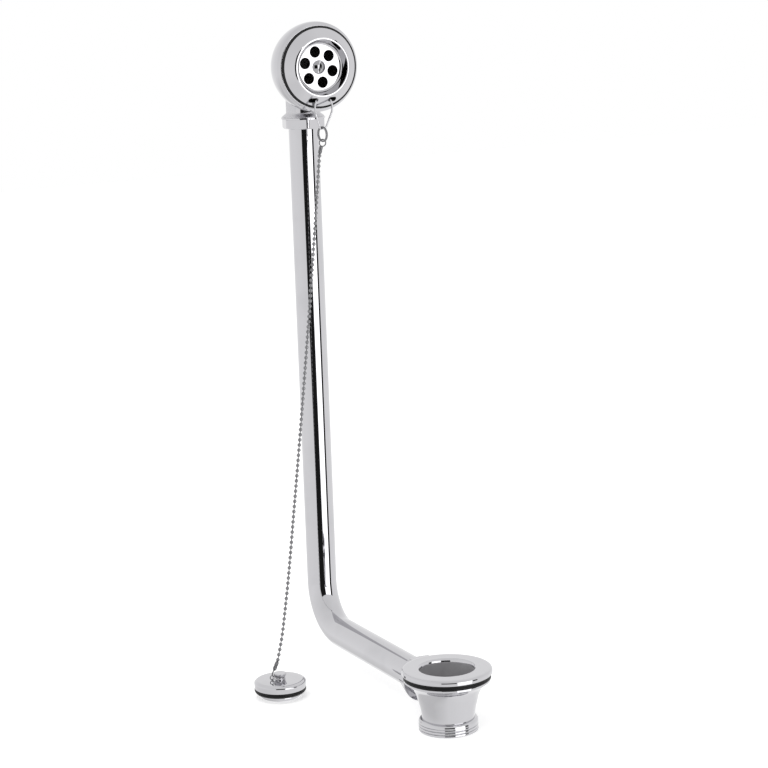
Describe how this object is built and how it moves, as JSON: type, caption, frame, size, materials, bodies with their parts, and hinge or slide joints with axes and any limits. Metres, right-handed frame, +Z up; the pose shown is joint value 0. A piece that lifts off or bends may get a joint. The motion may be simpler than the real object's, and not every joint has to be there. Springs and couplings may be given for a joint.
{
  "type": "bath waste and overflow",
  "caption": "Exposed chrome bath waste and overflow: domed overflow head, bent pipe, flanged waste, and a plug on a ball chain.",
  "frame": {"origin": "centre of the outlet's lower end, on the axis of the waste", "axes": "+Z up along the waste axis, +X from the overflow pipe towards the waste, the way the overflow rose faces"},
  "size_m": [0.2808, 0.1394, 0.5531],
  "materials": {
    "chrome": "polished",
    "rubber": "matte"
  },
  "bodies": {
    "fitting": {"waste_flange": "chrome", "flange_washer": "rubber", "body_washer": "rubber", "waste_body": "chrome", "lower_union_nut": "chrome", "lower_union_ring": "rubber", "pipe_leg": "chrome", "pipe_bend": "chrome", "pipe_upright": "chrome", "upper_union_nut": "chrome", "upper_union_ring": "rubber", "overflow_body": "chrome", "overflow_gasket": "rubber", "overflow_rose": "chrome", "rose_screw": "chrome"},
    "stay": {"chain_stay": "chrome"},
    "ring": {"split_ring": "chrome"},
    "chain": {"upper_coupling": "chrome", "ball_chain": "chrome", "lower_coupling": "chrome", "plug_ring": "chrome"},
    "plug": {"plug_knob": "chrome", "plug_cap": "chrome", "plug_seal": "rubber", "plug_base": "chrome"}
  },
  "joints": [
    {"name": "stay_swing", "type": "hinge", "parent": "fitting", "child": "stay", "pos_m": [-0.1896, 0, 0.4892], "axis": [0, -1, 0], "range_deg": [0, 15]},
    {"name": "ring_swing", "type": "hinge", "parent": "stay", "child": "ring", "pos_m": [-0.1854, -0.002, 0.4656], "axis": [0, -1, 0], "range_deg": [-5, 90]},
    {"name": "chain_swing", "type": "hinge", "parent": "ring", "child": "chain", "pos_m": [-0.1854, -0.002, 0.4551], "axis": [1, 0, 0], "range_deg": [-60, 2]},
    {"name": "plug_spin", "type": "hinge", "parent": "chain", "child": "plug", "pos_m": [-0.1453, -0.0803, 0.0152], "axis": [0, 0, 1], "continuous": true}
  ]
}
